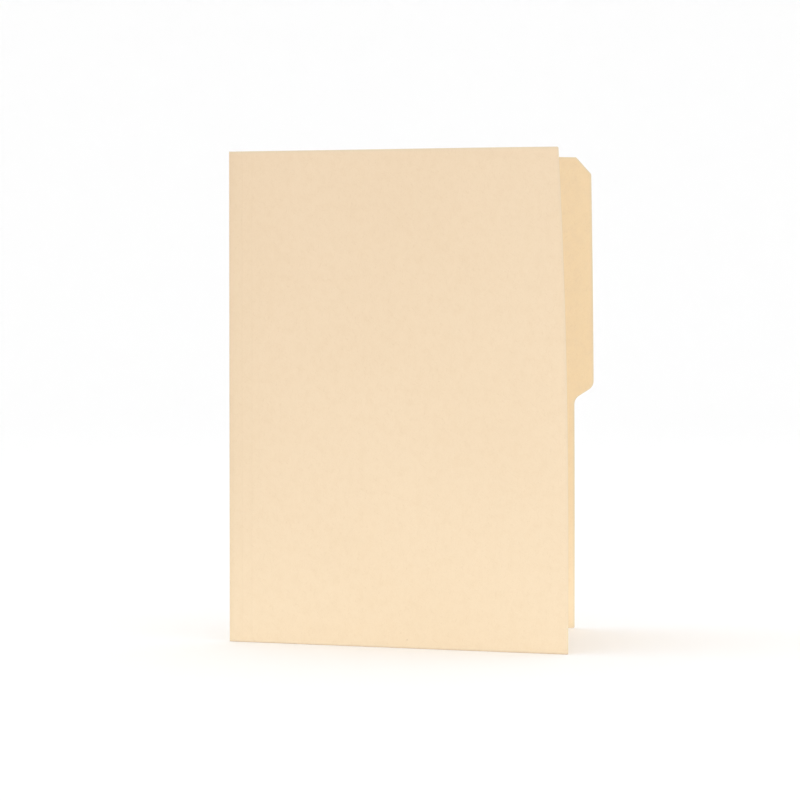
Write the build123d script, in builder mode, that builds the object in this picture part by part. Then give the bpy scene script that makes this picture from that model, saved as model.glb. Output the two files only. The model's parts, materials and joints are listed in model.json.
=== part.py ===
"""Manila file folder with a half-cut index tab and two expansion scores, standing half open on its end.

The main fold's axis is Z and its foot is the origin. The pocket opens towards +X, the front cover is
on the -Y side and the tabbed back leaf on the +Y side. Sizes are in millimetres and degrees.
"""
from build123d import *
import math
import os

# Card and leaves
CARD = 0.28  # thickness of 11 point manila stock
FOLD_LENGTH = 295.3  # length of the fold, and of both leaves along it
FRONT_DEPTH = 216.0  # fold to the front leaf's free edge
BACK_DEPTH = 228.6  # fold to the back leaf's free edge, beside the tab
CORNER_RADIUS = 0.8  # slight rounding that the die leaves on the square corners
OPENING = 44.0  # angle between the leaves as the folder stands

# Index tab on the back leaf's free edge
TAB_RISE = 13.5  # how far the tab stands out from the free edge
TAB_LENGTH = 147.6  # top end of the leaf to the middle of the tab's shoulder
TAB_CHAMFER = 10.5  # corner cut off at the tab's top end
CHAMFER_EASE = 1.5  # radius that eases both ends of that cut
SHOULDER_RUN = 7.7  # how far the shoulder travels along the edge while it falls to it
SHOULDER_RADIUS = 6.0  # round at the shoulder's crest and at its foot

# Creases
FOLD_INNER_RADIUS = 0.5  # inside of the rolled main fold, half of the gap between closed leaves
FIRST_SCORE = 8.0  # main fold to the first expansion score
SCORE_SPACING = 6.35  # first to second expansion score
BEAD_RADIUS = 0.2  # bead that the scoring rule raises along an expansion score
BEAD_SINK = 0.08  # how far the bead's centre is pressed towards the inner face
SCORE_WEB = 0.6  # pressed web of card that carries the bead, from its centre back to the strip
CREASE_CLEARANCE = 0.08  # play at each crease, so that the panels turn freely

# Planes of the two leaves: x runs from the fold to the free edge, y up the fold and z to the front
back_plane = Plane.XZ.rotated((0, 0, OPENING / 2))
front_plane = Plane.XZ.rotated((0, 0, -OPENING / 2))

# Where the panels end, measured from the main fold
fold_outer_radius = FOLD_INNER_RADIUS + CARD
second_score_place = FIRST_SCORE + SCORE_SPACING
bead_reach = BEAD_RADIUS + CREASE_CLEARANCE
tab_edge = BACK_DEPTH + TAB_RISE
shoulder_middle = FOLD_LENGTH - TAB_LENGTH
shoulder_foot = shoulder_middle - SHOULDER_RUN / 2
shoulder_crest = shoulder_middle + SHOULDER_RUN / 2
# The fold strip starts just far enough out for its inner corner to pass round the rolled fold
fold_strip_start = math.sqrt((fold_outer_radius + CREASE_CLEARANCE) ** 2 - FOLD_INNER_RADIUS**2)


def score_plane(distance):
    """Level plane at the foot of an expansion score: x away from the fold, y to the inner face."""
    bead_centre = FOLD_INNER_RADIUS + CARD / 2 - BEAD_SINK
    foot = front_plane.from_local_coords((distance, 0, bead_centre))
    return Plane(origin=foot, x_dir=front_plane.x_dir, z_dir=(0, 0, 1))


def score_profile():
    """Section of an expansion score: the raised bead, and the web that joins it to the strip behind."""
    Circle(BEAD_RADIUS)
    with Locations((0, -BEAD_SINK)):
        Rectangle(SCORE_WEB, CARD, align=(Align.MAX, Align.CENTER))


# Back leaf, from its outer face through the card to the inner face
with BuildPart() as back_leaf:
    with BuildSketch(back_plane.offset(-fold_outer_radius)) as back_outline:
        with BuildLine():
            Polyline(
                (0, 0),
                (BACK_DEPTH, 0),
                (BACK_DEPTH, shoulder_foot),
                (tab_edge, shoulder_crest),
                (tab_edge, FOLD_LENGTH),
                (0, FOLD_LENGTH),
                close=True,
            )
        make_face()
        shoulder = back_outline.vertices().filter_by_position(Axis.Y, shoulder_foot, shoulder_crest)
        fillet(shoulder, radius=SHOULDER_RADIUS)
        tab_corner = back_outline.vertices().group_by(Axis.Y)[-1].sort_by(Axis.X)[-1]
        chamfer(tab_corner, length=TAB_CHAMFER)
        chamfer_ends = back_outline.vertices().filter_by_position(Axis.X, tab_edge - TAB_CHAMFER, tab_edge)
        fillet(chamfer_ends.sort_by(Axis.Y)[-2:], radius=CHAMFER_EASE)
        free_corner = back_outline.vertices().group_by(Axis.Y)[0].sort_by(Axis.X)[-1]
        fillet(free_corner, radius=CORNER_RADIUS)
    extrude(amount=CARD)
back_leaf.part.label = "back_leaf"

# Main fold: the card rolled round the fold's axis, from the back leaf's edge to the cover's
with BuildPart() as main_fold:
    with BuildSketch(Plane.XY):
        with BuildLine():
            outside = CenterArc((0, 0), fold_outer_radius, 90 + OPENING / 2, 180 - OPENING)
            inside = CenterArc((0, 0), FOLD_INNER_RADIUS, 90 + OPENING / 2, 180 - OPENING)
            Line(outside @ 0, inside @ 0)
            Line(outside @ 1, inside @ 1)
        make_face()
    extrude(amount=FOLD_LENGTH)
main_fold.part.label = "main_fold"

# Fold strip: the cover's first strip, from the main fold to the first score
with BuildPart() as fold_strip:
    with BuildSketch(front_plane.offset(FOLD_INNER_RADIUS)):
        with Locations((fold_strip_start, 0)):
            Rectangle(FIRST_SCORE - SCORE_WEB - fold_strip_start, FOLD_LENGTH, align=Align.MIN)
    extrude(amount=CARD)
fold_strip.part.label = "fold_strip"

with BuildPart() as first_score:
    with BuildSketch(score_plane(FIRST_SCORE)):
        score_profile()
    extrude(amount=FOLD_LENGTH)
first_score.part.label = "first_score"

# Gusset strip: the cover's second strip, between the two scores
with BuildPart() as gusset_strip:
    with BuildSketch(front_plane.offset(FOLD_INNER_RADIUS)):
        with Locations((FIRST_SCORE + bead_reach, 0)):
            Rectangle(SCORE_SPACING - bead_reach - SCORE_WEB, FOLD_LENGTH, align=Align.MIN)
    extrude(amount=CARD)
gusset_strip.part.label = "gusset_strip"

with BuildPart() as second_score:
    with BuildSketch(score_plane(second_score_place)):
        score_profile()
    extrude(amount=FOLD_LENGTH)
second_score.part.label = "second_score"

# Front leaf, from the second score to the free edge
with BuildPart() as front_leaf:
    with BuildSketch(front_plane.offset(FOLD_INNER_RADIUS)) as front_outline:
        with Locations((second_score_place + bead_reach, 0)):
            Rectangle(FRONT_DEPTH - second_score_place - bead_reach, FOLD_LENGTH, align=Align.MIN)
        fillet(front_outline.vertices().group_by(Axis.X)[-1], radius=CORNER_RADIUS)
    extrude(amount=CARD)
front_leaf.part.label = "front_leaf"

os.makedirs("parts", exist_ok=True)
for piece in (back_leaf, main_fold, fold_strip, first_score, gusset_strip, second_score, front_leaf):
    export_step(piece.part, f"parts/{piece.part.label}.step")
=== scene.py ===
"""Manila file folder standing half open on its end, dressed as one scored and folded sheet of card.

The file is laid out as a Blender add-on and is run as a script. Lengths are in metres, in the part's own
frame: Z runs up the main fold, the pocket opens towards +X and the front cover is on the -Y side.
"""
import json
import math

import bmesh
import bpy
import numpy as np
from bpy.props import FloatProperty, FloatVectorProperty, PointerProperty
from mathutils import Matrix, Vector

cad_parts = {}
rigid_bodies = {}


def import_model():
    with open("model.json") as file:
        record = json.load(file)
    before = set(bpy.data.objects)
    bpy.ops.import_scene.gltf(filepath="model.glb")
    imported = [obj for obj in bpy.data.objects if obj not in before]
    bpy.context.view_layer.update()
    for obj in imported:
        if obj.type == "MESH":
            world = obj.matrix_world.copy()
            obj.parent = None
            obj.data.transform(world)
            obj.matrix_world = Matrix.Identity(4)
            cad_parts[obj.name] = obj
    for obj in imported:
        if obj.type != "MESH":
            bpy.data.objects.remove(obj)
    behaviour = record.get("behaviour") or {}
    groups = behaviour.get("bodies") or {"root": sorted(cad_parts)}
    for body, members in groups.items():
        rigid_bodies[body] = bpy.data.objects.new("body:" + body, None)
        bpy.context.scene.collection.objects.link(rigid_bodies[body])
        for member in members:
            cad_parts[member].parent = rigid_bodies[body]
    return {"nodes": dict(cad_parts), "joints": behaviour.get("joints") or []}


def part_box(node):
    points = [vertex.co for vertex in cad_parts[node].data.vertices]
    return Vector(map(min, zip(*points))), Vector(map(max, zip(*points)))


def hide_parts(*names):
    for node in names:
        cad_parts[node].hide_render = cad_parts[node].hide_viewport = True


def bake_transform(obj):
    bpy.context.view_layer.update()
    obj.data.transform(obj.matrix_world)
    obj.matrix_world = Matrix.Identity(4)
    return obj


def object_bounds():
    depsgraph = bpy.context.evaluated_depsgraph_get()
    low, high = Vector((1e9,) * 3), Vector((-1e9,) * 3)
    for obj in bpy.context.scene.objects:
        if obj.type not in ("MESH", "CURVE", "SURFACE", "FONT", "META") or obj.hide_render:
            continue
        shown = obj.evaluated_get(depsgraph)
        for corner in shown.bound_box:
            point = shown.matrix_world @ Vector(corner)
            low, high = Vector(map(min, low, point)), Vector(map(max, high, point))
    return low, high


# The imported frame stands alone, without the objects of Blender's start-up scene
for startup_object in list(bpy.data.objects):
    bpy.data.objects.remove(startup_object)
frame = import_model()
cad_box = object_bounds()

bl_info = {
    "name": "Manila Folder",
    "version": (1, 0, 0),
    "blender": (4, 5, 0),
    "location": "3D View > Sidebar > Folder",
    "description": "Dresses the packed file folder as one scored and folded sheet of manila card",
    "category": "Object",
}

MM = 0.001
WHITE = (1.0, 1.0, 1.0)


def linear(code):
    """An sRGB hex code as a linear colour."""
    shares = [int(code[at:at + 2], 16) / 255 for at in (0, 2, 4)]
    return tuple(c / 12.92 if c <= 0.04045 else ((c + 0.055) / 1.055) ** 2.4 for c in shares)


def reach(node, direction):
    """Lowest and highest place of a frame node along a direction."""
    places = [vertex.co.dot(direction) for vertex in frame["nodes"][node].data.vertices]
    return min(places), max(places)


# Sizes that the frame gives. Closing the cover turns it by the whole angle between the leaves.
joints = {joint["name"]: joint for joint in frame["joints"]}
HALF_OPENING = math.radians(-joints["cover_fold"]["range_deg"][0]) / 2
COVER_ALONG = Vector((math.cos(HALF_OPENING), -math.sin(HALF_OPENING), 0))
COVER_OUT = Vector((-math.sin(HALF_OPENING), -math.cos(HALF_OPENING), 0))
BACK_ALONG = Vector((math.cos(HALF_OPENING), math.sin(HALF_OPENING), 0))
INNER_FACE, OUTER_FACE = reach("front_leaf", COVER_OUT)
FOLD_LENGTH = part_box("main_fold")[1].z
FRONT_DEPTH = reach("front_leaf", COVER_ALONG)[1]
TAB_EDGE = reach("back_leaf", BACK_ALONG)[1]
FIRST_SCORE = Vector(joints["first_score_fold"]["pos_m"]).dot(COVER_ALONG)
SECOND_SCORE = Vector(joints["second_score_fold"]["pos_m"]).dot(COVER_ALONG)


def length(name, description, default):
    """A length that a user may change, in metres."""
    return FloatProperty(name=name, description=description, default=default, unit="LENGTH", precision=5)


def colour(name, description, code):
    """A colour that a user may change, from its sRGB hex code."""
    return FloatVectorProperty(name=name, description=description, default=linear(code),
                               subtype="COLOR", size=3)


def power(name, description, default):
    """A light's power that a user may change, in watts."""
    return FloatProperty(name=name, description=description, default=default, unit="POWER", precision=4)


class SheetSizes(bpy.types.PropertyGroup):
    """Sizes of the die-cut sheet."""

    front_depth: length("Front depth", "Main fold to the cover's free edge", FRONT_DEPTH)
    tab_edge: length("Tab edge", "Main fold to the tab's outer edge", TAB_EDGE)
    tab_rise: length("Tab rise", "How far the tab stands out from the back leaf's edge", 13.5 * MM)
    tab_length: length("Tab length", "Top end of the leaf to the middle of the shoulder", 147.6 * MM)
    tab_chamfer: length("Tab chamfer", "Corner cut off at the tab's top end", 10.5 * MM)
    chamfer_ease: length("Chamfer ease", "Radius at both ends of that cut", 1.5 * MM)
    shoulder_run: length("Shoulder run", "How far the shoulder travels along the edge", 7.7 * MM)
    shoulder_radius: length("Shoulder radius", "Round at the shoulder's crest and foot", 6.0 * MM)
    corner_radius: length("Corner radius", "Slight rounding of the square corners", 0.8 * MM)


class CreaseSizes(bpy.types.PropertyGroup):
    """Sizes of the creases that the scoring rules press."""

    first_score: length("First score", "Main fold to the first expansion score", FIRST_SCORE)
    second_score: length("Second score", "Main fold to the second expansion score", SECOND_SCORE)
    groove_width: length("Groove width", "Width of the groove in the outer face", 1.1 * MM)
    groove_depth: length("Groove depth", "Depth of the groove in the outer face", 0.05 * MM)
    bead_width: length("Bead width", "Width of the bead on the inner face", 0.7 * MM)
    bead_height: length("Bead height", "How far the bead stands out of the inner face", 0.14 * MM)


class LeafShape(bpy.types.PropertyGroup):
    """How the springy leaves depart from flat, always outwards, so that they close without cutting in."""

    flat_depth: length("Flat depth", "Width beside the fold that stays flat", 20 * MM)
    cover_flare: length("Cover flare", "How far the cover's top free corner bends outwards", 15.5 * MM)
    cover_top_bend: length("Cover top bend", "Main fold to where the bend starts on the top edge", 60 * MM)
    cover_edge_bend: length("Cover edge bend", "Floor to where the bend starts on the free edge", 59 * MM)
    back_flare: length("Back flare", "How far the tab's top corner bends outwards", 5.5 * MM)
    back_top_bend: length("Back top bend", "Main fold to where the bend starts on the top edge", 20 * MM)
    back_edge_bend: length("Back edge bend", "Floor to where the bend starts on the tab's line", 27 * MM)
    wave: length("Wave", "Depth of the card's slow waves", 0.25 * MM)


class CardColours(bpy.types.PropertyGroup):
    """Colours of the manila card."""

    face: colour("Face", "Buff of the outer faces", "e8cfb0")
    # The inside buff is painted bounce light, the warmth of light bounced between the leaves
    inside: colour("Inside", "Painted bounce light: warmer buff of the faces inside the pocket", "ecd0a7")
    cloud: colour("Cloud", "Denser flocs in the card", "e1c5a3")
    fibre: colour("Fibre", "Brown fibres in the face", "caa87e")
    pale_fibre: colour("Pale fibre", "Bleached fibres in the face", "ebdac1")
    fleck: colour("Fleck", "Bark flecks in the pulp", "a67c50")
    # This tone is partly burnish and partly painted shade, on the fold and in the scores' grooves
    pressed_and_shade: colour("Pressed and shade", "Burnish and painted shade along the fold and the scores", "d2b791")
    edge: colour("Cut edge", "Raw card in the die-cut edges", "d3c5ad")


class StageSettings(bpy.types.PropertyGroup):
    """Camera, floor and lights."""

    floor: colour("Floor", "Seamless white paper", "fdfdfd")
    lens: FloatProperty(name="Lens", description="Focal length in millimetres", default=164.30, unit="CAMERA")
    tilt: FloatProperty(name="Tilt", description="How far the camera looks down", subtype="ANGLE",
                        default=math.radians(1.737))
    camera_place: FloatVectorProperty(name="Camera", description="Where the camera stands", size=3,
                                      subtype="TRANSLATION", default=(0.1021, -2.201, 0.2125))
    overhead: power("Overhead", "Power of the softbox above", 5)
    table: power("Table", "Power of the light table under the folder", 1.05)
    table_tone: colour("Table tone", "Tint of the light table, slightly cool", "e8ffff")
    mouth: power("Mouth", "Power of the light panel at the pocket's mouth", 0.008)
    sky: FloatProperty(name="Sky", description="Strength of the even light all round", default=1.05)


class FolderSettings(bpy.types.PropertyGroup):
    """All that a user may change on the folder and its stage."""

    sheet: PointerProperty(type=SheetSizes)
    creases: PointerProperty(type=CreaseSizes)
    shape: PointerProperty(type=LeafShape)
    colours: PointerProperty(type=CardColours)
    stage: PointerProperty(type=StageSettings)


# The sheet's form. u is the developed distance across the sheet from the middle of the main fold, positive
# on the cover, and s is the distance from the fold's axis along a leaf.

FOLD_SWEEP = math.pi - 2 * HALF_OPENING
HALF_ROLL = (INNER_FACE + OUTER_FACE) / 2 * FOLD_SWEEP / 2
# Slow waves of the card: how far each goes on, in radians, along a whole leaf and up it
LONG_WAVE = (7.3, 2.9)
CROSS_WAVE = (3.1, -8.4)
COVER_PHASE, BACK_PHASE = 0.6, 2.2
WAVE_ONSET = 0.25  # share of a leaf over which the waves set in


def crest(distance, width):
    """A smooth ridge of height 1 over that width."""
    return np.where(np.abs(distance) < width / 2, (1 + np.cos(2 * math.pi * distance / width)) / 2, 0)


def score_relief(creases, s, outer):
    """How far the two expansion scores push a face of the cover inwards."""
    width = creases.groove_width if outer else creases.bead_width
    height = creases.groove_depth if outer else creases.bead_height
    return height * (crest(s - creases.first_score, width) + crest(s - creases.second_score, width))


def bent_leaf(settings, s, z, on_cover):
    """How far a leaf bends outwards at s and z, and the s and z that are left, as card doesn't stretch.

    Card bends about straight lines only, so the top free corner curls evenly from a line that slants from
    the top edge down to the free edge. Slow waves lie over it.
    """
    shape = settings.shape
    if on_cover:
        free_edge, phase = settings.sheet.front_depth, COVER_PHASE
        flare, top_bend, edge_bend = shape.cover_flare, shape.cover_top_bend, shape.cover_edge_bend
    else:
        free_edge, phase = settings.sheet.tab_edge, BACK_PHASE
        flare, top_bend, edge_bend = shape.back_flare, shape.back_top_bend, shape.back_edge_bend
    across = Vector((FOLD_LENGTH - edge_bend, free_edge - top_bend)).normalized()
    to_corner = across.x * (free_edge - top_bend)
    curl = np.clip(across.x * (s - top_bend) + across.y * (z - FOLD_LENGTH), 0, None) / to_corner
    # Length that a shallow parabola takes up
    taken_up = 2 / 3 * flare**2 * curl**3 / to_corner
    run = np.clip((s - shape.flat_depth) / (free_edge - shape.flat_depth), 0, None)
    rise = z / FOLD_LENGTH
    long_wave = np.sin(LONG_WAVE[0] * run + LONG_WAVE[1] * rise + phase)
    cross_wave = np.sin(CROSS_WAVE[0] * run + CROSS_WAVE[1] * rise + 2 * phase)
    onset = np.clip(run / WAVE_ONSET, 0, 1) ** 2
    bow = flare * curl**2 + shape.wave * onset * (1 + long_wave * cross_wave) / 2
    return bow, s - taken_up * across.x, z - taken_up * across.y


def sheet_points(settings, u, z, outer):
    """Places on one face of the sheet, from the developed distance u and the height z."""
    face = OUTER_FACE if outer else INNER_FACE
    on_cover = u > 0
    s = np.clip(np.abs(u) - HALF_ROLL, 0, None)
    relief = np.where(on_cover, score_relief(settings.creases, s, outer), 0)
    bends = zip(bent_leaf(settings, s, z, True), bent_leaf(settings, s, z, False))
    bow, s, z = [np.where(on_cover, front, back) for front, back in bends]
    turn = math.pi + np.clip(u / HALF_ROLL, -1, 1) * FOLD_SWEEP / 2
    offset = face + bow - relief
    x = offset * np.cos(turn) + s * math.cos(HALF_OPENING)
    y = offset * np.sin(turn) - np.where(on_cover, 1, -1) * s * math.sin(HALF_OPENING)
    return np.stack([x, y, z], axis=-1)


def eased_edge(corners, steps=6):
    """Points of a free edge whose corners are rounded.

    Each corner is (s, z, radius), from foot to top. The first and the last only give directions.
    """
    points = []
    for before, corner, after in zip(corners, corners[1:], corners[2:]):
        at, radius = Vector(corner[:2]), corner[2]
        towards = (Vector(before[:2]) - at).normalized()
        onwards = (Vector(after[:2]) - at).normalized()
        half_angle = towards.angle(onwards) / 2
        centre = at + (towards + onwards).normalized() * radius / math.sin(half_angle)
        first = at + towards * radius / math.tan(half_angle) - centre
        last = at + onwards * radius / math.tan(half_angle) - centre
        turn = first.angle_signed(last)
        points += [centre + Matrix.Rotation(-turn * i / steps, 2) @ first for i in range(steps + 1)]
    return np.array(points).T


def back_edge(sheet):
    """The back leaf's free edge, with the index tab: its shoulder, and the corner cut off at its top end."""
    leaf_edge = sheet.tab_edge - sheet.tab_rise
    shoulder = FOLD_LENGTH - sheet.tab_length
    chamfer = sheet.tab_chamfer
    return eased_edge([
        (0, 0, 0),
        (leaf_edge, 0, sheet.corner_radius),
        (leaf_edge, shoulder - sheet.shoulder_run / 2, sheet.shoulder_radius),
        (sheet.tab_edge, shoulder + sheet.shoulder_run / 2, sheet.shoulder_radius),
        (sheet.tab_edge, FOLD_LENGTH - chamfer, sheet.chamfer_ease),
        (sheet.tab_edge - chamfer, FOLD_LENGTH, sheet.chamfer_ease),
        (0, FOLD_LENGTH, 0),
    ])


def cover_edge(sheet):
    """The cover's straight free edge, with its two corners."""
    return eased_edge([
        (0, 0, 0),
        (sheet.front_depth, 0, sheet.corner_radius),
        (sheet.front_depth, FOLD_LENGTH, sheet.corner_radius),
        (0, FOLD_LENGTH, 0),
    ])


# Rows and columns of the sheet's grid. They crowd where the die and the scoring rules leave their marks.

ROW_STEP = 7 * MM
LEAST_ROW_STEP = 0.02 * MM  # rows closer than this are one row
COLUMN_STEP = 9 * MM
RIM_STEPS = np.array([0, 0.25, 0.6, 1.2, 2.4]) * MM  # distances from a cut edge
LEAF_STEPS = np.array([0.3, 0.8, 1.6, 3.0, 5.0, 8.0, 12.0]) * MM  # from the rolled fold, on the back leaf
STRIP_STEPS = np.array([0.3, 0.8, 1.6, 2.8]) * MM  # from the rolled fold, on the fold strip
AFTER_SCORE = 3 * MM  # from the second score to the last column before the cover's even ones
ROLL_COLUMNS = 25
STRIP_COLUMNS = 4
SCORE_COLUMNS = np.linspace(-0.6, 0.6, 19)  # across a score, in widths of its groove


def grid_rows(edge_heights):
    """Heights of the grid's rows: even steps, the rims at both ends and each point of the free edge."""
    even = np.linspace(0, FOLD_LENGTH, round(FOLD_LENGTH / ROW_STEP) + 1)
    rows = np.unique(np.concatenate([even, RIM_STEPS, FOLD_LENGTH - RIM_STEPS, edge_heights]).round(6))
    keep = np.concatenate([[True], np.diff(rows) > LEAST_ROW_STEP])
    return rows[keep]


def leaf_columns(near, flat_depth, edge):
    """Distances s of a leaf's columns for each row: those near the fold, even ones and the rim's."""
    rim = edge[:, None] - RIM_STEPS[::-1]
    steps = round((edge.max() - flat_depth) / COLUMN_STEP)
    share = np.linspace(0, 1, steps + 1)[:-1]
    even = flat_depth + share * (rim[:, :1] - flat_depth)
    return np.concatenate([np.tile(near, (len(edge), 1)), even, rim], axis=1)


def score_columns(creases, score):
    """Columns across one expansion score."""
    return score + creases.groove_width * SCORE_COLUMNS


def gusset_middle(creases):
    """Where two of the sheets meet: half way between the expansion scores, where nothing bends."""
    return (creases.first_score + creases.second_score) / 2


# Meshes of the card, and the marks on them that the materials read

FACE_MATERIAL, EDGE_MATERIAL = 0, 1
SHARP_ANGLE = math.radians(40)  # the cut edges are sharper than this, and the creases softer
INSIDE_LEVEL = 0.5  # third coordinate of the inner face in the patterns
FAR = FOLD_LENGTH  # further from a free edge than its wear reaches
RIM_WIDTH = RIM_STEPS[-1]
NO_WEAR, FOOT_WEAR, COVER_WEAR, TAB_WEAR, TOP_WEAR = 0.0, 0.3, 0.4, 1.0, 1.0  # how worn each cut edge is
# Strength and reach of the painted shade on the rolled fold, and of the darkening towards the fold
FOLD_SHADE, FOLD_SHADE_WIDTH = 0.5, 8 * MM
NEAR_FOLD_DARKENING, NEAR_FOLD_REACH = 0.5, 10 * MM
# Along a score the tone is partly the scoring rule's burnish and partly painted shade in its groove
SCORE_BURNISH_AND_SHADE, SCORE_BURNISH_AND_SHADE_WIDTH = 0.22, 1.2  # the width is in widths of the groove


def cells(grid):
    """The four corners of each cell in a grid of point numbers."""
    return np.stack([grid[:-1, :-1], grid[:-1, 1:], grid[1:, 1:], grid[1:, :-1]], -1).reshape(-1, 4)


def card_object(name, settings, u, z, edge_distance, edge_wear, seams):
    """A closed sheet of card over a grid of u and z, with its materials and the marks they read.

    edge_wear is how worn the free edge is. seams says whether the first and last columns are cut edges
    (False) or butt against the next sheet (True).
    """
    z = np.broadcast_to(z[:, None], u.shape)
    points = [sheet_points(settings, u, z, outer).reshape(-1, 3) for outer in (True, False)]
    grid = np.arange(u.size).reshape(u.shape)
    inner = grid + grid.size
    faces = [cells(grid), cells(inner)[:, ::-1]]
    rims = [
        (grid[0], inner[0]),
        (inner[-1], grid[-1]),
        (inner[:, 0], grid[:, 0]),
        (grid[:, -1], inner[:, -1]),
    ]
    walls = [np.stack([a[:-1], b[:-1], b[1:], a[1:]], -1) for a, b in rims]
    kinds = [FACE_MATERIAL] * (2 * len(faces[0]))
    for wall, seam in zip(walls, (False, False, *seams)):
        kinds += [FACE_MATERIAL if seam else EDGE_MATERIAL] * len(wall)
    mesh = bpy.data.meshes.new(name)
    mesh.from_pydata(np.concatenate(points), [], np.concatenate(faces + walls).tolist())
    mesh.polygons.foreach_set("material_index", kinds)
    mesh.polygons.foreach_set("use_smooth", [True] * len(kinds))
    mesh.set_sharp_from_angle(angle=SHARP_ANGLE)
    write_marks(mesh, settings, u, z, edge_distance, edge_wear)
    mesh.validate()
    piece = bpy.data.objects.new(name, mesh)
    bpy.context.scene.collection.objects.link(piece)
    for make in (manila_card_calendered, manila_card_cut_edge):
        mesh.materials.append(material_of(make, settings.colours))
    return piece


def write_marks(mesh, settings, u, z, edge_distance, edge_wear):
    """What the materials read: the place on the flat sheet, and how near a crease or a cut edge is."""
    s = np.clip(np.abs(u) - HALF_ROLL, 0, None)
    creases = settings.creases
    # Painted shade on the rolled fold, and the card beside it darker towards the fold
    pressed_and_shade = FOLD_SHADE * crest(u, FOLD_SHADE_WIDTH) + NEAR_FOLD_DARKENING * np.exp(-s / NEAR_FOLD_REACH)
    # Along each score, partly the scoring rule's burnish and partly painted shade in its groove
    for score in (creases.first_score, creases.second_score):
        line = SCORE_BURNISH_AND_SHADE * crest(s - score, SCORE_BURNISH_AND_SHADE_WIDTH * creases.groove_width)
        pressed_and_shade = pressed_and_shade + np.where(u > 0, line, 0)
    rim = np.zeros_like(u)
    for distance, wear in ((FOLD_LENGTH - z, TOP_WEAR), (z, FOOT_WEAR), (edge_distance, edge_wear)):
        rim = np.maximum(rim, wear * np.clip(1 - distance / RIM_WIDTH, 0, 1) ** 2)
    for key, values in (("pressed_and_shade", pressed_and_shade), ("rim", rim)):
        mark = mesh.attributes.new(key, "FLOAT", "POINT")
        mark.data.foreach_set("value", np.tile(values.ravel(), 2).astype(np.float32))
    # The inner face reads the patterns elsewhere, so that the two faces don't match
    flat = [np.stack([u, z, np.full_like(u, level)], -1).reshape(-1, 3) for level in (0.0, INSIDE_LEVEL)]
    mark = mesh.attributes.new("sheet", "FLOAT_VECTOR", "POINT")
    mark.data.foreach_set("vector", np.concatenate(flat).astype(np.float32).ravel())


# Materials

# Sockets of a colour Mix node, whose names aren't unique
MIX_FACTOR, MIX_A, MIX_B, MIX_RESULT = 0, 6, 7, 2
# Painted bounce light inside the pocket is full above this height and falls to a share of it at the foot
BOUNCE_FULL_HEIGHT = 110 * MM  # above it, the faces inside the pocket have their full tone
BOUNCE_AT_FOOT = 0.35  # share of that tone at the foot
FIBRE_WIDTH, FIBRE_RUN = 0.35 * MM, 3 * MM
FIBRE_TURNS = (15, 70, 125, 165)  # degrees; brown and pale fibres take turns
FLECK_CELL, FLECK_RADIUS, FLECK_FADE = 15 * MM, 0.33 * MM, 0.09 * MM  # the largest radius, and its soft rim
FLECK_SHARE = 0.55
BARE_CELLS = 0.72  # share of the cells that hold no fleck
# The two flecks near the cover's foot: distance s, height, radius and share
COVER_FLECKS = ((115.1 * MM, 5.0 * MM, 0.65 * MM, 0.35), (111.0 * MM, 8.7 * MM, 0.5 * MM, 0.15))
COVER_FLECK_CORE = 0.1 * MM  # radius of their darkest part
CARD_IOR = 1.5


def add_node(tree, kind, inputs=None, **settings):
    """Adds a node with its settings, and sets or links each input that is named."""
    node = tree.nodes.new(kind)
    for key, value in settings.items():
        setattr(node, key, value)
    for key, value in (inputs or {}).items():
        if isinstance(value, bpy.types.NodeSocket):
            tree.links.new(value, node.inputs[key])
        else:
            node.inputs[key].default_value = value
    return node


def opaque(rgb):
    """A colour property with its alpha."""
    return (*rgb, 1.0)


def material_of(make, colours):
    """The material that a function makes, named after it and made only once."""
    name = make.__name__
    material = bpy.data.materials.get(name)
    if material is None:
        material = bpy.data.materials.new(name)
        material.use_nodes = True
        material.node_tree.nodes.clear()
        make(material.node_tree, colours)
    return material


def painted_pocket_bounce(tree, sheet):
    """Painted bounce light inside the pocket, less of it towards the foot, where light reaches in."""
    where = add_node(tree, "ShaderNodeSeparateXYZ", {"Vector": sheet}).outputs
    bounce_share = add_node(tree, "ShaderNodeMapRange",
                     {"Value": where["Y"], "From Max": BOUNCE_FULL_HEIGHT, "To Min": BOUNCE_AT_FOOT},
                     interpolation_type="SMOOTHSTEP").outputs["Result"]
    return add_node(tree, "ShaderNodeMath", {0: where["Z"], 1: bounce_share}, operation="MULTIPLY").outputs["Value"]


def card_fibres(tree, sheet):
    """Patterns of fibres, one for each way they lie.

    Real fibres are 0.03 mm wide, too fine to show, so they are drawn about ten times as wide.
    """
    stretch = (1 / FIBRE_WIDTH, 1 / FIBRE_RUN, 1)
    fibres = []
    for turn in FIBRE_TURNS:
        turned = add_node(tree, "ShaderNodeVectorRotate", {"Vector": sheet, "Angle": math.radians(turn)},
                          rotation_type="Z_AXIS").outputs["Vector"]
        drawn = add_node(tree, "ShaderNodeVectorMath", {0: turned, 1: stretch},
                         operation="MULTIPLY").outputs["Vector"]
        fibres.append(add_node(tree, "ShaderNodeTexNoise", {
            "Vector": drawn, "Scale": 1.0, "Detail": 1.0, "Distortion": 1.5}).outputs["Fac"])
    return fibres


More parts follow.
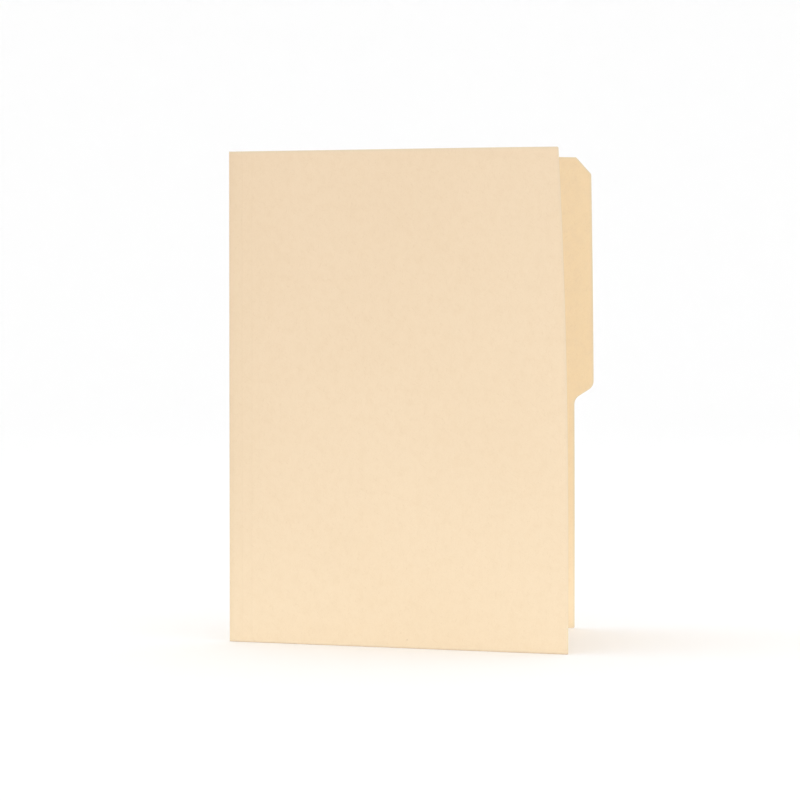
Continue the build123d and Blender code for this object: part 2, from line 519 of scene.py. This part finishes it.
def bark_flecks(tree, sheet, tone):
    """Layers of bark flecks: rare ones anywhere on the faces, and two that show near the cover's foot.

    The cells are as deep as they are wide, so only flecks that happen to lie in a face show on it.
    """
    voronoi = add_node(tree, "ShaderNodeTexVoronoi", {"Vector": sheet, "Scale": 1 / FLECK_CELL}).outputs
    chosen = add_node(tree, "ShaderNodeSeparateColor", {"Color": voronoi["Color"]}).outputs["Red"]
    size = add_node(tree, "ShaderNodeMapRange", {
        "Value": chosen, "From Min": BARE_CELLS, "From Max": 1.0,
        "To Max": FLECK_RADIUS / FLECK_CELL}).outputs["Result"]
    fleck = add_node(tree, "ShaderNodeMath", {0: size, 1: voronoi["Distance"]}, operation="SUBTRACT")
    layers = [(fleck.outputs["Value"], 0.0, FLECK_FADE / FLECK_CELL, FLECK_SHARE, tone)]
    for s, height, radius, share in COVER_FLECKS:
        place = (HALF_ROLL + s, height, 0)
        away = add_node(tree, "ShaderNodeVectorMath", {0: sheet, 1: place}, operation="DISTANCE")
        layers.append((away.outputs["Value"], radius, COVER_FLECK_CORE, share, tone))
    return layers


def manila_card_calendered(tree, colours):
    """Manila card, uncoated and calendered.

    Semi-bleached pulp gives it a warm buff with soft denser clouds, short brown and pale fibres and a few
    bark flecks. The calender's rolls leave it smooth, with a dull gloss that pressing raises along the fold
    and scores. Its tone darkens towards the fold, and holds painted shade on the fold and in the scores and
    painted bounce light inside the pocket.
    """
    sheet = add_node(tree, "ShaderNodeAttribute", attribute_name="sheet").outputs["Vector"]
    pressed_and_shade = add_node(tree, "ShaderNodeAttribute", attribute_name="pressed_and_shade").outputs["Fac"]
    rim = add_node(tree, "ShaderNodeAttribute", attribute_name="rim").outputs["Fac"]
    # Flocs of 6 mm, and a slow drift of tone over a hand's breadth
    flocs = add_node(tree, "ShaderNodeTexNoise", {
        "Vector": sheet, "Scale": 1 / (6 * MM), "Detail": 3.0, "Roughness": 0.6}).outputs["Fac"]
    drift = add_node(tree, "ShaderNodeTexNoise", {
        "Vector": sheet, "Scale": 1 / (80 * MM), "Detail": 1.0}).outputs["Fac"]
    # The real surface grain is about 0.1 mm, too fine to show, so it is drawn at 0.8 mm
    grain = add_node(tree, "ShaderNodeTexNoise", {
        "Vector": sheet, "Scale": 1 / (0.8 * MM), "Detail": 2.0}).outputs["Fac"]
    fibres = card_fibres(tree, sheet)
    fibre_tones = (colours.fibre, colours.pale_fibre) * 2
    # Each layer is a pattern, its values where the layer starts and is full, the layer's share and colour
    layers = [
        # Painted bounce light: a warmer buff on the faces inside the pocket
        (painted_pocket_bounce(tree, sheet), 0.0, INSIDE_LEVEL, 1.0, colours.inside),
        (flocs, 0.45, 0.70, 0.26, colours.cloud),
        (drift, 0.40, 0.70, 0.12, colours.cloud),
        *[(fibre, 0.60, 0.74, 0.20, tone) for fibre, tone in zip(fibres, fibre_tones)],
        *bark_flecks(tree, sheet, colours.fleck),
        # Painted shade on the fold, darker card towards it, and burnish with painted shade along the scores
        (pressed_and_shade, 0.0, 1.0, 0.30, colours.pressed_and_shade),
        (rim, 0.0, 1.0, 0.50, colours.edge),
    ]
    tone = opaque(colours.face)
    for pattern, low, high, share, layer in layers:
        factor = add_node(tree, "ShaderNodeMapRange", {
            "Value": pattern, "From Min": low, "From Max": high, "To Max": share}).outputs["Result"]
        tone = add_node(tree, "ShaderNodeMix", {MIX_FACTOR: factor, MIX_A: tone, MIX_B: opaque(layer)},
                        data_type="RGBA").outputs[MIX_RESULT]
    # Roughness of 0.56 to 0.68 with the grain, and up to 0.12 less along the fold and the scores
    dull = add_node(tree, "ShaderNodeMath", {0: grain, 1: 0.12, 2: 0.56}, operation="MULTIPLY_ADD")
    rough = add_node(tree, "ShaderNodeMath", {0: pressed_and_shade, 1: -0.12, 2: dull.outputs["Value"]},
                     operation="MULTIPLY_ADD")
    # Raised fibres that lie two ways, over the grain
    raised = add_node(tree, "ShaderNodeMath", {0: fibres[0], 1: fibres[1]}, operation="ADD")
    relief = add_node(tree, "ShaderNodeMath", {0: grain, 1: 0.7, 2: raised.outputs["Value"]},
                      operation="MULTIPLY_ADD")
    bump = add_node(tree, "ShaderNodeBump", {
        "Strength": 0.4, "Distance": 0.03 * MM, "Height": relief.outputs["Value"]}).outputs["Normal"]
    shader = add_node(tree, "ShaderNodeBsdfPrincipled", {
        "Base Color": tone, "Roughness": rough.outputs["Value"], "IOR": CARD_IOR, "Normal": bump})
    add_node(tree, "ShaderNodeOutputMaterial", {"Surface": shader.outputs["BSDF"]})


def manila_card_cut_edge(tree, colours):
    """Manila card, die-cut: the raw edge is paler, greyer and duller than the face, with torn fibre ends."""
    sheet = add_node(tree, "ShaderNodeAttribute", attribute_name="sheet").outputs["Vector"]
    # Fibre ends are 0.03 mm across, too fine to show, so they are drawn at 0.5 mm
    ends = add_node(tree, "ShaderNodeTexNoise", {
        "Vector": sheet, "Scale": 1 / (0.5 * MM), "Detail": 2.0}).outputs["Fac"]
    tone = add_node(tree, "ShaderNodeMix",
                    {MIX_FACTOR: ends, MIX_A: opaque(colours.edge), MIX_B: opaque(colours.cloud)},
                    data_type="RGBA").outputs[MIX_RESULT]
    # Roughness of 0.75 to 0.95 with the fibre ends
    rough = add_node(tree, "ShaderNodeMath", {0: ends, 1: 0.2, 2: 0.75}, operation="MULTIPLY_ADD")
    bump = add_node(tree, "ShaderNodeBump", {
        "Strength": 0.5, "Distance": 0.03 * MM, "Height": ends}).outputs["Normal"]
    shader = add_node(tree, "ShaderNodeBsdfPrincipled", {
        "Base Color": tone, "Roughness": rough.outputs["Value"], "IOR": CARD_IOR, "Normal": bump})
    add_node(tree, "ShaderNodeOutputMaterial", {"Surface": shader.outputs["BSDF"]})


def seamless_white_paper(tree, stage):
    """Seamless background paper, matt white, which shows only soft shadows."""
    shader = add_node(tree, "ShaderNodeBsdfPrincipled", {
        "Base Color": opaque(stage.floor), "Roughness": 0.9, "IOR": 1.45})
    add_node(tree, "ShaderNodeOutputMaterial", {"Surface": shader.outputs["BSDF"]})


# Pieces


def bend_at_score(piece):
    """Bakes the sheet's placement into its mesh; nothing bends at the score."""
    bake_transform(piece)


class FOLDER_OT_back_sheet(bpy.types.Operator):
    """Makes the back leaf with its index tab, the rolled main fold and the near half of the fold strip"""

    bl_idname = "folder.back_sheet"
    bl_label = "Back Leaf and Main Fold"

    def execute(self, context):
        settings = context.scene.folder
        edge_s, edge_z = back_edge(settings.sheet)
        z = grid_rows(edge_z)
        edge = np.interp(z, edge_z, edge_s)
        s = leaf_columns(LEAF_STEPS, settings.shape.flat_depth, edge)
        roll = np.linspace(-HALF_ROLL, HALF_ROLL, ROLL_COLUMNS)
        strip = HALF_ROLL + np.append(STRIP_STEPS, settings.creases.first_score / 2)
        beyond = np.tile(np.concatenate([roll, strip]), (len(z), 1))
        u = np.concatenate([-HALF_ROLL - s[:, ::-1], beyond], axis=1)
        to_edge = np.where(u < 0, edge[:, None] - (np.abs(u) - HALF_ROLL), FAR)
        piece = card_object("back_sheet", settings, u, z, to_edge, TAB_WEAR, seams=(False, True))
        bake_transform(piece)
        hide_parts("back_leaf", "main_fold")
        return {"FINISHED"}


class FOLDER_OT_crease_sheet(bpy.types.Operator):
    """Makes the first expansion score with the half strips of card on both sides of it"""

    bl_idname = "folder.crease_sheet"
    bl_label = "First Expansion Score"

    def execute(self, context):
        settings = context.scene.folder
        creases = settings.creases
        score = creases.first_score
        z = grid_rows([])
        s = np.concatenate([
            np.linspace(score / 2, score - creases.groove_width, STRIP_COLUMNS),
            score_columns(creases, score),
            np.linspace(score + creases.groove_width, gusset_middle(creases), STRIP_COLUMNS),
        ])
        u = np.tile(HALF_ROLL + s, (len(z), 1))
        to_edge = np.full_like(u, FAR)
        piece = card_object("crease_sheet", settings, u, z, to_edge, NO_WEAR, seams=(True, True))
        bend_at_score(piece)
        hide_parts("fold_strip", "first_score")
        return {"FINISHED"}


class FOLDER_OT_cover_sheet(bpy.types.Operator):
    """Makes the cover from the middle of the gusset strip, over the second score, to its free edge"""

    bl_idname = "folder.cover_sheet"
    bl_label = "Front Cover"

    def execute(self, context):
        settings = context.scene.folder
        creases = settings.creases
        score = creases.second_score
        edge_s, edge_z = cover_edge(settings.sheet)
        z = grid_rows(edge_z)
        edge = np.interp(z, edge_z, edge_s)
        near = np.concatenate([
            np.linspace(gusset_middle(creases), score - creases.groove_width, STRIP_COLUMNS),
            score_columns(creases, score),
            [score + creases.groove_width, score + AFTER_SCORE],
        ])
        s = leaf_columns(near, settings.shape.flat_depth, edge)
        u = HALF_ROLL + s
        to_edge = edge[:, None] - s
        piece = card_object("cover_sheet", settings, u, z, to_edge, COVER_WEAR, seams=(True, False))
        bend_at_score(piece)
        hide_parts("gusset_strip", "second_score", "front_leaf")
        return {"FINISHED"}


# Stage

PAPER_LEVEL = -0.1 * MM  # just under the card's lower edges
PANEL_LEVEL = -0.05 * MM  # lights on the paper, which shine upwards
FLOOR_REACH, SWEEP_RADIUS, WALL_TOP = 3.4, 1.4, 3.2
SWEEP_STEPS, FLOOR_SIDES = 12, 128
OVERHEAD_PLACE, OVERHEAD_SIZE = (0.1, -0.5, 2.4), (2.4, 2.4)
TABLE_PLACE, TABLE_SIZE = (0.32, -0.2, PANEL_LEVEL), (0.9, 0.7)
MOUTH_PLACE, MOUTH_SIZE = (0.225, 0.04, PANEL_LEVEL), (0.07, 0.07)
UP = Vector((0, 0, 1))
SENSOR_WIDTH = 36  # millimetres


def seamless_floor(stage):
    """A round floor of white paper that curves up into a wall all round."""
    profile = [(0.0, PAPER_LEVEL), (FLOOR_REACH, PAPER_LEVEL)]
    for step in range(1, SWEEP_STEPS + 1):
        turn = math.pi / 2 * step / SWEEP_STEPS
        across = FLOOR_REACH + SWEEP_RADIUS * math.sin(turn)
        profile.append((across, PAPER_LEVEL + SWEEP_RADIUS * (1 - math.cos(turn))))
    profile.append((FLOOR_REACH + SWEEP_RADIUS, WALL_TOP))
    mesh = bpy.data.meshes.new("seamless_floor")
    shape = bmesh.new()
    line = [shape.verts.new((across, 0, up)) for across, up in profile]
    edges = [shape.edges.new(pair) for pair in zip(line, line[1:])]
    bmesh.ops.spin(shape, geom=line + edges, axis=UP, cent=(0, 0, 0), angle=2 * math.pi,
                   steps=FLOOR_SIDES, use_merge=True)
    bmesh.ops.remove_doubles(shape, verts=shape.verts, dist=0.01 * MM)
    bmesh.ops.recalc_face_normals(shape, faces=shape.faces)
    bmesh.ops.reverse_faces(shape, faces=shape.faces)
    shape.to_mesh(mesh)
    shape.free()
    mesh.polygons.foreach_set("use_smooth", [True] * len(mesh.polygons))
    mesh.materials.append(material_of(seamless_white_paper, stage))
    floor = bpy.data.objects.new("seamless_floor", mesh)
    bpy.context.scene.collection.objects.link(floor)
    return floor


def softbox(name, place, direction, size, power_watts, tone=WHITE):
    """A soft light that shines in a direction and stays out of the camera's sight."""
    lamp = bpy.data.lights.new(name, "AREA")
    lamp.shape = "RECTANGLE"
    lamp.size, lamp.size_y = size
    lamp.energy = power_watts
    lamp.color = tone
    light = bpy.data.objects.new(name, lamp)
    light.location = place
    light.rotation_euler = direction.to_track_quat("-Z", "Y").to_euler()
    light.visible_camera = False
    bpy.context.scene.collection.objects.link(light)


class FOLDER_OT_stage(bpy.types.Operator):
    """Makes the seamless floor, the soft lights and the camera at the photograph's angle"""

    bl_idname = "folder.stage"
    bl_label = "Stage"

    def execute(self, context):
        stage = context.scene.folder.stage
        seamless_floor(stage)
        to_folder = (cad_box[0] + cad_box[1]) / 2 - Vector(OVERHEAD_PLACE)
        softbox("overhead", OVERHEAD_PLACE, to_folder, OVERHEAD_SIZE, stage.overhead)
        # Lit from below, the leaves grow brighter towards the floor
        softbox("light_table", TABLE_PLACE, UP, TABLE_SIZE, stage.table, stage.table_tone)
        softbox("mouth_panel", MOUTH_PLACE, UP, MOUTH_SIZE, stage.mouth)
        world = bpy.data.worlds.new("even_light")
        world.use_nodes = True
        background = world.node_tree.nodes["Background"]
        background.inputs["Color"].default_value = opaque(WHITE)
        background.inputs["Strength"].default_value = stage.sky
        context.scene.world = world
        # Colours are shown as they are, with no film curve
        context.scene.view_settings.view_transform = "Standard"
        lens = bpy.data.cameras.new("camera")
        lens.lens = stage.lens
        lens.sensor_width = SENSOR_WIDTH
        camera = bpy.data.objects.new("camera", lens)
        camera.location = stage.camera_place
        camera.rotation_euler = (math.pi / 2 - stage.tilt, 0, 0)
        context.scene.collection.objects.link(camera)
        context.scene.camera = camera
        return {"FINISHED"}


OPERATORS = (FOLDER_OT_back_sheet, FOLDER_OT_crease_sheet, FOLDER_OT_cover_sheet, FOLDER_OT_stage)


class FOLDER_PT_pieces(bpy.types.Panel):
    """Lists the folder's pieces and its settings"""

    bl_idname = "FOLDER_PT_pieces"
    bl_label = "Manila Folder"
    bl_space_type = "VIEW_3D"
    bl_region_type = "UI"
    bl_category = "Folder"

    def draw(self, context):
        settings = context.scene.folder
        for operator in OPERATORS:
            self.layout.operator(operator.bl_idname)
        for group in (settings.sheet, settings.creases, settings.shape, settings.colours, settings.stage):
            box = self.layout.box()
            for key in group.__annotations__:
                box.prop(group, key)


GROUPS = (SheetSizes, CreaseSizes, LeafShape, CardColours, StageSettings, FolderSettings)


def register():
    for made in (*GROUPS, *OPERATORS, FOLDER_PT_pieces):
        bpy.utils.register_class(made)
    bpy.types.Scene.folder = PointerProperty(type=FolderSettings)


def unregister():
    del bpy.types.Scene.folder
    for made in reversed((*GROUPS, *OPERATORS, FOLDER_PT_pieces)):
        bpy.utils.unregister_class(made)


def main():
    register()
    bpy.ops.folder.back_sheet()
    bpy.ops.folder.crease_sheet()
    bpy.ops.folder.cover_sheet()
    bpy.ops.folder.stage()


if __name__ == "__main__":
    main()
